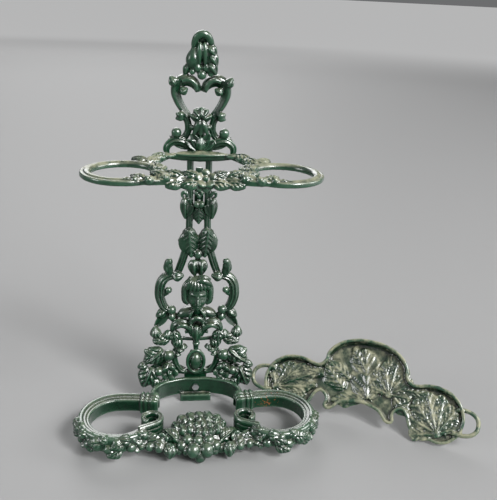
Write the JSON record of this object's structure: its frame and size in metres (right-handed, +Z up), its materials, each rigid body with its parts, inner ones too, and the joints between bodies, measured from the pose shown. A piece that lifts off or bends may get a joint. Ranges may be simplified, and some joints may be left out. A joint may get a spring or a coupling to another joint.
{
  "type": "umbrella stand",
  "caption": "Green enamelled cast iron umbrella stand: openwork scroll upright with a bust, looped rail, looped base and a loose leaf-pattern drip tray leaning beside it.",
  "frame": {"origin": "on the floor under the stand's rear foot block, in the plane where the upright meets the rail and the base strap, on the stand's middle plane", "axes": "+X to the stand's right as seen from the front, +Y to the back, +Z up"},
  "size_m": [0.7787, 0.2484, 0.75],
  "materials": {
    "enamel": "thick glossy bottle green enamel over cast iron, dusty in the recesses",
    "zinc": "bright zinc plate"
  },
  "bodies": {
    "stand": {"upright": "enamel", "upper_rail": "enamel", "base_ring": "enamel", "base_bolt": "zinc", "base_washer": "zinc", "base_nut": "zinc", "rail_screws": "zinc", "rail_washers": "zinc"},
    "tray": {"drip_tray": "enamel"}
  },
  "joints": [
    {"name": "tray_slide", "type": "slide", "parent": "stand", "child": "tray", "axis": [0.4555, 0.8902, 0], "range_m": [0, 0.25]}
  ]
}
